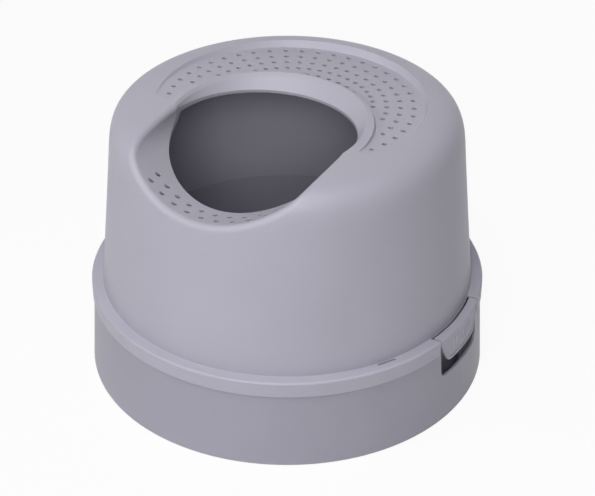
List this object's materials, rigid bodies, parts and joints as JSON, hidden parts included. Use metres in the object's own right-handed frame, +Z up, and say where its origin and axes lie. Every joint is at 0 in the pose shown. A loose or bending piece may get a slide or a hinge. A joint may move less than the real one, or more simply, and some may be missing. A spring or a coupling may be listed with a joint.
{
  "type": "cat litter box with hood",
  "caption": "Round cat litter box: double-walled tray, tall hood with a scooped top entry and a perforated crescent, and hinged side clips that hold the hood on the tray's rim.",
  "frame": {"origin": "on the floor, under the middle of the tray", "axes": "+Z up, the scooped entry faces -Y, the right latch is at +X"},
  "size_m": [0.5076, 0.5076, 0.358],
  "materials": {
    "hood_plastic": "satin moulded, lavender grey",
    "tray_plastic": "satin moulded, lavender grey",
    "latch_plastic": "satin moulded, lavender grey",
    "foot_rubber": "matte"
  },
  "bodies": {
    "tray": {"litter_tray": "tray_plastic", "front_left_foot": "foot_rubber", "front_right_foot": "foot_rubber", "rear_left_foot": "foot_rubber", "rear_right_foot": "foot_rubber"},
    "hood": {"hood": "hood_plastic"},
    "right_latch": {"right_latch": "latch_plastic"},
    "left_latch": {"left_latch": "latch_plastic"}
  },
  "joints": [
    {"name": "hood_lift", "type": "slide", "parent": "tray", "child": "hood", "axis": [0, 0, 1], "range_m": [0, 0.2]},
    {"name": "right_latch_hinge", "type": "hinge", "parent": "hood", "child": "right_latch", "pos_m": [0.2402, 0, 0.1165], "axis": [0, -1, 0], "range_deg": [0, 80]},
    {"name": "left_latch_hinge", "type": "hinge", "parent": "hood", "child": "left_latch", "pos_m": [-0.2402, 0, 0.1165], "axis": [0, 1, 0], "range_deg": [0, 80]}
  ]
}
